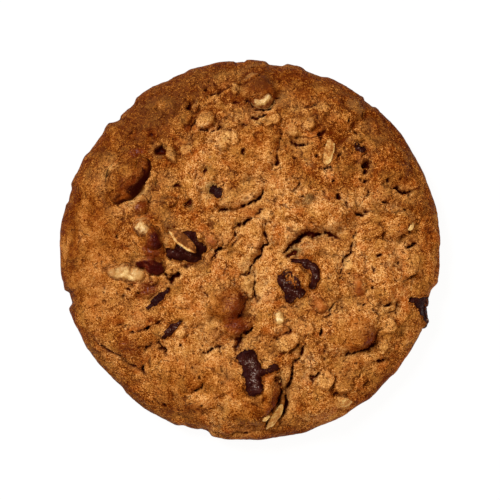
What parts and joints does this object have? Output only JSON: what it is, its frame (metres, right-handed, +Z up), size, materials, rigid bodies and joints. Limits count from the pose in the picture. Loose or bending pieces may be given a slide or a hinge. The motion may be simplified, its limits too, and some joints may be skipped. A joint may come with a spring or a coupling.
{
  "type": "oatmeal chocolate chip cookie",
  "caption": "Round, domed drop cookie of craggy oat dough on a flat base, with chocolate chunks and walnut pieces set in its top.",
  "frame": {"origin": "middle of the flat base that the cookie rests on", "axes": "+Z up through the crown, +X to the right and +Y to the top of the view from above"},
  "size_m": [0.0883, 0.0885, 0.0176],
  "materials": {
    "dough": "baked oat dough, matte, crumbly and mottled golden to red-brown",
    "chocolate": "dark chocolate, half gloss where bare and dusted with crumb",
    "walnut": "toasted walnut, cream where broken and red-brown where the skin shows"
  },
  "bodies": {
    "root": {"dough": "dough", "chocolate_1": "chocolate", "chocolate_2": "chocolate", "chocolate_3": "chocolate", "chocolate_4": "chocolate", "chocolate_5": "chocolate", "chocolate_6": "chocolate", "chocolate_7": "chocolate", "chocolate_8": "chocolate", "walnut_1": "walnut", "walnut_2": "walnut", "walnut_3": "walnut", "walnut_4": "walnut", "walnut_5": "walnut", "walnut_6": "walnut", "walnut_7": "walnut", "walnut_8": "walnut", "walnut_9": "walnut", "walnut_10": "walnut"}
  },
  "joints": []
}
